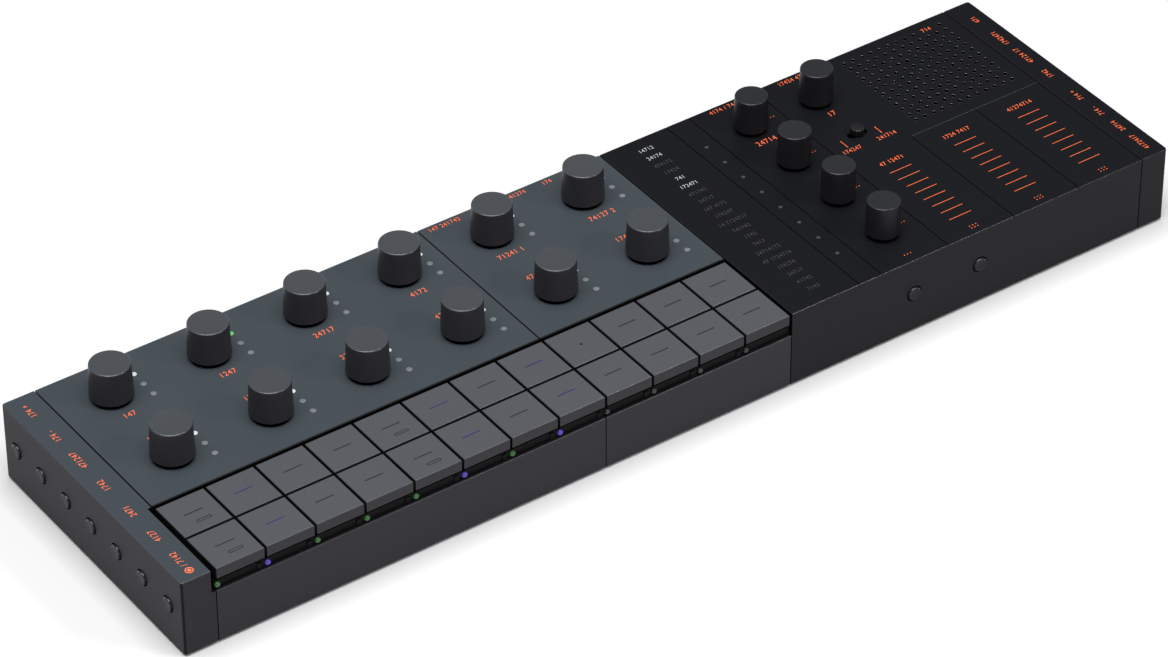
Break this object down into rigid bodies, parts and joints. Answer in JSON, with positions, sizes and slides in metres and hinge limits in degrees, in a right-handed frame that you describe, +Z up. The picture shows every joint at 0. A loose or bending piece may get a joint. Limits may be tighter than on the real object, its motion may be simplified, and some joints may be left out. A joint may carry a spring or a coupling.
{
  "type": "drum machine",
  "caption": "Long flat tabletop drum machine with a row of turning knobs, two rows of square keys, side push buttons, a slide switch and a speaker grille.",
  "frame": {"origin": "centre of the bounding box's bottom face, on the table under the feet", "axes": "+X to the right along the key rows, +Y from the keys to the rear wall, +Z up"},
  "size_m": [0.343, 0.097, 0.038],
  "materials": {
    "case_grey": "fine satin",
    "effects_black": "satin",
    "key_grey": "matte",
    "knob_black": "satin",
    "button_dark": "satin",
    "lamp_clear": "clear",
    "tray_black": "matte",
    "board_green": "satin",
    "battery_wrap": "film",
    "speaker_metal": "satin",
    "encoder_metal": "satin",
    "socket_black": "gloss",
    "foot_rubber": "matte",
    "screw_steel": "black oxide"
  },
  "bodies": {
    "chassis": {"base_tray": "tray_black", "left_end_block": "case_grey", "right_end_block": "effects_black", "drum_panel": "case_grey", "synth_panel": "case_grey", "effects_panel": "effects_black", "main_board": "board_green", "battery_pack": "battery_wrap", "speaker": "speaker_metal", "rotary_encoders": "encoder_metal", "sockets": "socket_black", "rubber_feet": "foot_rubber", "case_screws": "screw_steel", "light_pipes": "lamp_clear"},
    "track_knob_1": {"track_knob_1": "knob_black"},
    "track_knob_2": {"track_knob_2": "knob_black"},
    "track_knob_3": {"track_knob_3": "knob_black"},
    "track_knob_4": {"track_knob_4": "knob_black"},
    "track_knob_5": {"track_knob_5": "knob_black"},
    "track_knob_6": {"track_knob_6": "knob_black"},
    "track_knob_7": {"track_knob_7": "knob_black"},
    "track_knob_8": {"track_knob_8": "knob_black"},
    "track_knob_9": {"track_knob_9": "knob_black"},
    "track_knob_10": {"track_knob_10": "knob_black"},
    "track_knob_11": {"track_knob_11": "knob_black"},
    "track_knob_12": {"track_knob_12": "knob_black"},
    "sound_knob_1": {"sound_knob_1": "knob_black"},
    "sound_knob_2": {"sound_knob_2": "knob_black"},
    "sound_knob_3": {"sound_knob_3": "knob_black"},
    "sound_knob_4": {"sound_knob_4": "knob_black"},
    "effects_knob": {"effects_knob": "knob_black"},
    "key_front_1": {"key_front_1": "key_grey"},
    "key_front_2": {"key_front_2": "key_grey"},
    "key_front_3": {"key_front_3": "key_grey"},
    "key_front_4": {"key_front_4": "key_grey"},
    "key_front_5": {"key_front_5": "key_grey"},
    "key_front_6": {"key_front_6": "key_grey"},
    "key_front_7": {"key_front_7": "key_grey"},
    "key_front_8": {"key_front_8": "key_grey"},
    "key_front_9": {"key_front_9": "key_grey"},
    "key_front_10": {"key_front_10": "key_grey"},
    "key_front_11": {"key_front_11": "key_grey"},
    "key_front_12": {"key_front_12": "key_grey"},
    "key_rear_1": {"key_rear_1": "key_grey"},
    "key_rear_2": {"key_rear_2": "key_grey"},
    "key_rear_3": {"key_rear_3": "key_grey"},
    "key_rear_4": {"key_rear_4": "key_grey"},
    "key_rear_5": {"key_rear_5": "key_grey"},
    "key_rear_6": {"key_rear_6": "key_grey"},
    "key_rear_7": {"key_rear_7": "key_grey"},
    "key_rear_8": {"key_rear_8": "key_grey"},
    "key_rear_9": {"key_rear_9": "key_grey"},
    "key_rear_10": {"key_rear_10": "key_grey"},
    "key_rear_11": {"key_rear_11": "key_grey"},
    "key_rear_12": {"key_rear_12": "key_grey"},
    "left_buttons": {"left_buttons": "button_dark"},
    "right_buttons": {"right_buttons": "button_dark"},
    "front_buttons": {"front_buttons": "button_dark"},
    "rear_buttons": {"rear_buttons": "button_dark"},
    "mode_switch": {"mode_switch": "button_dark"}
  },
  "joints": [
    {"name": "track_knob_1_turn", "type": "hinge", "parent": "chassis", "child": "track_knob_1", "pos_m": [-0.144, 0, 0.026], "axis": [0, 0, 1], "continuous": true},
    {"name": "track_knob_2_turn", "type": "hinge", "parent": "chassis", "child": "track_knob_2", "pos_m": [-0.112, 0, 0.026], "axis": [0, 0, 1], "continuous": true},
    {"name": "track_knob_3_turn", "type": "hinge", "parent": "chassis", "child": "track_knob_3", "pos_m": [-0.08, 0, 0.026], "axis": [0, 0, 1], "continuous": true},
    {"name": "track_knob_4_turn", "type": "hinge", "parent": "chassis", "child": "track_knob_4", "pos_m": [-0.048, 0, 0.026], "axis": [0, 0, 1], "continuous": true},
    {"name": "track_knob_5_turn", "type": "hinge", "parent": "chassis", "child": "track_knob_5", "pos_m": [-0.016, 0, 0.026], "axis": [0, 0, 1], "continuous": true},
    {"name": "track_knob_6_turn", "type": "hinge", "parent": "chassis", "child": "track_knob_6", "pos_m": [0.016, 0, 0.026], "axis": [0, 0, 1], "continuous": true},
    {"name": "track_knob_7_turn", "type": "hinge", "parent": "chassis", "child": "track_knob_7", "pos_m": [-0.144, 0.0321, 0.026], "axis": [0, 0, 1], "continuous": true},
    {"name": "track_knob_8_turn", "type": "hinge", "parent": "chassis", "child": "track_knob_8", "pos_m": [-0.112, 0.0321, 0.026], "axis": [0, 0, 1], "continuous": true},
    {"name": "track_knob_9_turn", "type": "hinge", "parent": "chassis", "child": "track_knob_9", "pos_m": [-0.08, 0.0321, 0.026], "axis": [0, 0, 1], "continuous": true},
    {"name": "track_knob_10_turn", "type": "hinge", "parent": "chassis", "child": "track_knob_10", "pos_m": [-0.048, 0.0321, 0.026], "axis": [0, 0, 1], "continuous": true},
    {"name": "track_knob_11_turn", "type": "hinge", "parent": "chassis", "child": "track_knob_11", "pos_m": [-0.016, 0.0321, 0.026], "axis": [0, 0, 1], "continuous": true},
    {"name": "track_knob_12_turn", "type": "hinge", "parent": "chassis", "child": "track_knob_12", "pos_m": [0.016, 0.0321, 0.026], "axis": [0, 0, 1], "continuous": true},
    {"name": "sound_knob_1_turn", "type": "hinge", "parent": "chassis", "child": "sound_knob_1", "pos_m": [0.07675, -0.0317, 0.026], "axis": [0, 0, 1], "continuous": true},
    {"name": "sound_knob_2_turn", "type": "hinge", "parent": "chassis", "child": "sound_knob_2", "pos_m": [0.07675, -0.01043, 0.026], "axis": [0, 0, 1], "continuous": true},
    {"name": "sound_knob_3_turn", "type": "hinge", "parent": "chassis", "child": "sound_knob_3", "pos_m": [0.07675, 0.01084, 0.026], "axis": [0, 0, 1], "continuous": true},
    {"name": "sound_knob_4_turn", "type": "hinge", "parent": "chassis", "child": "sound_knob_4", "pos_m": [0.07675, 0.03211, 0.026], "axis": [0, 0, 1], "continuous": true},
    {"name": "effects_knob_turn", "type": "hinge", "parent": "chassis", "child": "effects_knob", "pos_m": [0.10085, 0.03211, 0.026], "axis": [0, 0, 1], "continuous": true},
    {"name": "key_front_1_press", "type": "slide", "parent": "chassis", "child": "key_front_1", "axis": [0, 0, -1], "range_m": [0, 0.0012], "stiffness_N_per_m": 200, "springref_m": -0.002},
    {"name": "key_front_2_press", "type": "slide", "parent": "chassis", "child": "key_front_2", "axis": [0, 0, -1], "range_m": [0, 0.0012], "stiffness_N_per_m": 200, "springref_m": -0.002},
    {"name": "key_front_3_press", "type": "slide", "parent": "chassis", "child": "key_front_3", "axis": [0, 0, -1], "range_m": [0, 0.0012], "stiffness_N_per_m": 200, "springref_m": -0.002},
    {"name": "key_front_4_press", "type": "slide", "parent": "chassis", "child": "key_front_4", "axis": [0, 0, -1], "range_m": [0, 0.0012], "stiffness_N_per_m": 200, "springref_m": -0.002},
    {"name": "key_front_5_press", "type": "slide", "parent": "chassis", "child": "key_front_5", "axis": [0, 0, -1], "range_m": [0, 0.0012], "stiffness_N_per_m": 200, "springref_m": -0.002},
    {"name": "key_front_6_press", "type": "slide", "parent": "chassis", "child": "key_front_6", "axis": [0, 0, -1], "range_m": [0, 0.0012], "stiffness_N_per_m": 200, "springref_m": -0.002},
    {"name": "key_front_7_press", "type": "slide", "parent": "chassis", "child": "key_front_7", "axis": [0, 0, -1], "range_m": [0, 0.0012], "stiffness_N_per_m": 200, "springref_m": -0.002},
    {"name": "key_front_8_press", "type": "slide", "parent": "chassis", "child": "key_front_8", "axis": [0, 0, -1], "range_m": [0, 0.0012], "stiffness_N_per_m": 200, "springref_m": -0.002},
    {"name": "key_front_9_press", "type": "slide", "parent": "chassis", "child": "key_front_9", "axis": [0, 0, -1], "range_m": [0, 0.0012], "stiffness_N_per_m": 200, "springref_m": -0.002},
    {"name": "key_front_10_press", "type": "slide", "parent": "chassis", "child": "key_front_10", "axis": [0, 0, -1], "range_m": [0, 0.0012], "stiffness_N_per_m": 200, "springref_m": -0.002},
    {"name": "key_front_11_press", "type": "slide", "parent": "chassis", "child": "key_front_11", "axis": [0, 0, -1], "range_m": [0, 0.0012], "stiffness_N_per_m": 200, "springref_m": -0.002},
    {"name": "key_front_12_press", "type": "slide", "parent": "chassis", "child": "key_front_12", "axis": [0, 0, -1], "range_m": [0, 0.0012], "stiffness_N_per_m": 200, "springref_m": -0.002},
    {"name": "key_rear_1_press", "type": "slide", "parent": "chassis", "child": "key_rear_1", "axis": [0, 0, -1], "range_m": [0, 0.0012], "stiffness_N_per_m": 200, "springref_m": -0.002},
    {"name": "key_rear_2_press", "type": "slide", "parent": "chassis", "child": "key_rear_2", "axis": [0, 0, -1], "range_m": [0, 0.0012], "stiffness_N_per_m": 200, "springref_m": -0.002},
    {"name": "key_rear_3_press", "type": "slide", "parent": "chassis", "child": "key_rear_3", "axis": [0, 0, -1], "range_m": [0, 0.0012], "stiffness_N_per_m": 200, "springref_m": -0.002},
    {"name": "key_rear_4_press", "type": "slide", "parent": "chassis", "child": "key_rear_4", "axis": [0, 0, -1], "range_m": [0, 0.0012], "stiffness_N_per_m": 200, "springref_m": -0.002},
    {"name": "key_rear_5_press", "type": "slide", "parent": "chassis", "child": "key_rear_5", "axis": [0, 0, -1], "range_m": [0, 0.0012], "stiffness_N_per_m": 200, "springref_m": -0.002},
    {"name": "key_rear_6_press", "type": "slide", "parent": "chassis", "child": "key_rear_6", "axis": [0, 0, -1], "range_m": [0, 0.0012], "stiffness_N_per_m": 200, "springref_m": -0.002},
    {"name": "key_rear_7_press", "type": "slide", "parent": "chassis", "child": "key_rear_7", "axis": [0, 0, -1], "range_m": [0, 0.0012], "stiffness_N_per_m": 200, "springref_m": -0.002},
    {"name": "key_rear_8_press", "type": "slide", "parent": "chassis", "child": "key_rear_8", "axis": [0, 0, -1], "range_m": [0, 0.0012], "stiffness_N_per_m": 200, "springref_m": -0.002},
    {"name": "key_rear_9_press", "type": "slide", "parent": "chassis", "child": "key_rear_9", "axis": [0, 0, -1], "range_m": [0, 0.0012], "stiffness_N_per_m": 200, "springref_m": -0.002},
    {"name": "key_rear_10_press", "type": "slide", "parent": "chassis", "child": "key_rear_10", "axis": [0, 0, -1], "range_m": [0, 0.0012], "stiffness_N_per_m": 200, "springref_m": -0.002},
    {"name": "key_rear_11_press", "type": "slide", "parent": "chassis", "child": "key_rear_11", "axis": [0, 0, -1], "range_m": [0, 0.0012], "stiffness_N_per_m": 200, "springref_m": -0.002},
    {"name": "key_rear_12_press", "type": "slide", "parent": "chassis", "child": "key_rear_12", "axis": [0, 0, -1], "range_m": [0, 0.0012], "stiffness_N_per_m": 200, "springref_m": -0.002},
    {"name": "left_buttons_press", "type": "slide", "parent": "chassis", "child": "left_buttons", "axis": [1, 0, 0], "range_m": [0, 0.0006], "stiffness_N_per_m": 300, "springref_m": -0.001},
    {"name": "right_buttons_press", "type": "slide", "parent": "chassis", "child": "right_buttons", "axis": [-1, 0, 0], "range_m": [0, 0.0006], "stiffness_N_per_m": 300, "springref_m": -0.001},
    {"name": "front_buttons_press", "type": "slide", "parent": "chassis", "child": "front_buttons", "axis": [0, 1, 0], "range_m": [0, 0.0008], "stiffness_N_per_m": 300, "springref_m": -0.001},
    {"name": "rear_buttons_press", "type": "slide", "parent": "chassis", "child": "rear_buttons", "axis": [0, -1, 0], "range_m": [0, 0.0008], "stiffness_N_per_m": 300, "springref_m": -0.001},
    {"name": "mode_switch_slide", "type": "slide", "parent": "chassis", "child": "mode_switch", "axis": [1, 0, 0], "range_m": [-0.002, 0.002]}
  ]
}
